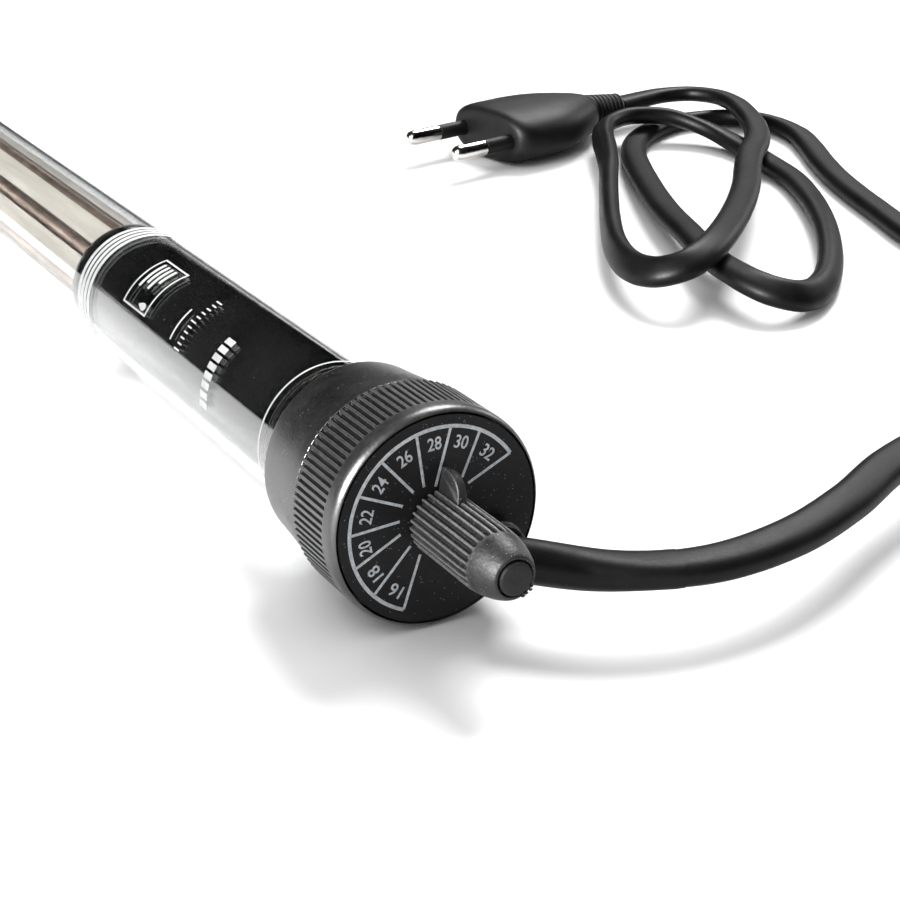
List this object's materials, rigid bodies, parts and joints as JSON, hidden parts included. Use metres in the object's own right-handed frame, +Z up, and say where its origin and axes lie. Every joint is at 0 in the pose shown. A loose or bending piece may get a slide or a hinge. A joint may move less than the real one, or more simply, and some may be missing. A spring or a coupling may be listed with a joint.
{
  "type": "submersible aquarium heater",
  "caption": "Glass-tube submersible aquarium heater with a knurled head, temperature dial, pointer knob, ceramic core and a flat mains lead with a two-pin plug.",
  "frame": {"origin": "on the floor under the middle of the heater, the lead and plug left out", "axes": "+X along the heater from the closed glass end towards the knob, +Z up; the heater lies on its knurled ring and the far end of its tube, so its own axis rises 0.9 degrees towards the knob"},
  "size_m": [0.3326, 0.2345, 0.0342],
  "materials": {
    "clear_glass": "polished borosilicate",
    "black_plastic": "fine moulded grain",
    "knob_plastic": "satin moulded",
    "gloss_black": "mirror-like gloss",
    "black_rubber": "satin",
    "grey_silicone": "matte",
    "ceramic": "unglazed steatite",
    "coil_wire": "oxidised resistance wire",
    "steel": "bright",
    "nickel": "nickel plate",
    "brass": "stamped",
    "silver": "silver contact",
    "bimetal": "rolled strip",
    "laminate": "phenolic laminate",
    "lamp_glass": "neon lamp",
    "film_blue": "lacquered",
    "wire_brown": "wire insulation",
    "wire_blue": "wire insulation"
  },
  "bodies": {
    "housing": {"glass_tube": "clear_glass", "head_body": "black_plastic", "tube_gasket": "black_rubber", "knurled_cap": "black_plastic", "dial_plate": "black_plastic", "spindle_bush": "brass", "cord_boss": "black_plastic", "tube_stopper": "grey_silicone", "thermostat_sleeve": "gloss_black", "separator_disc": "gloss_black", "ceramic_core": "ceramic", "core_end_pad": "ceramic", "carrier_board": "laminate", "lever_bracket": "steel", "lever_pin": "steel", "bimetal_foot": "brass", "snap_magnet": "steel", "neon_lamp": "lamp_glass", "neon_resistor": "film_blue", "suppressor_capacitor": "film_blue", "terminal_live": "brass", "terminal_neutral": "brass", "lead_live": "wire_brown", "lead_neutral": "wire_blue", "coil_lead_1": "steel", "coil_lead_2": "steel", "strain_relief": "black_rubber", "mains_cord": "black_rubber", "plug_body": "black_rubber", "plug_pin_left": "nickel", "plug_pin_right": "nickel", "plug_pin_sleeve_left": "black_rubber", "plug_pin_sleeve_right": "black_rubber", "heating_coil_1": "coil_wire", "heating_coil_2": "coil_wire", "heating_coil_3": "coil_wire", "heating_coil_4": "coil_wire", "heating_coil_5": "coil_wire", "heating_coil_6": "coil_wire", "heating_coil_7": "coil_wire", "heating_coil_8": "coil_wire"},
    "knob": {"knob": "knob_plastic", "knob_tip_plug": "knob_plastic", "spindle": "steel", "spindle_clip": "steel", "spindle_o_ring": "black_rubber"},
    "follower": {"follower_nut": "brass"},
    "lever": {"contact_lever": "brass", "lever_contact": "silver"},
    "bimetal": {"bimetal_strip": "bimetal", "bimetal_contact": "silver"}
  },
  "joints": [
    {"name": "knob_turn", "type": "hinge", "parent": "housing", "child": "knob", "pos_m": [0.14321, 0, 0.0172], "axis": [0.9999, 0, 0.0159], "range_deg": [-48, 163]},
    {"name": "follower_slide", "type": "slide", "parent": "housing", "child": "follower", "axis": [0.9999, 0, 0.0159], "range_m": [-0.00105, 0.0003]},
    {"name": "lever_tilt", "type": "hinge", "parent": "housing", "child": "lever", "pos_m": [0.08918, 0, 0.01874], "axis": [0, 1, 0], "range_deg": [-10, 3]},
    {"name": "bimetal_bend", "type": "hinge", "parent": "housing", "child": "bimetal", "pos_m": [0.03812, 0, 0.02253], "axis": [0, 1, 0], "range_deg": [-2, 0.5], "stiffness_Nm_per_rad": 0.3}
  ],
  "couplings": [
    {"joint": "follower_slide", "follows": "knob_turn", "m_per_rad": -0.00031831},
    {"joint": "lever_tilt", "follows": "knob_turn", "ratio": -0.060058}
  ]
}
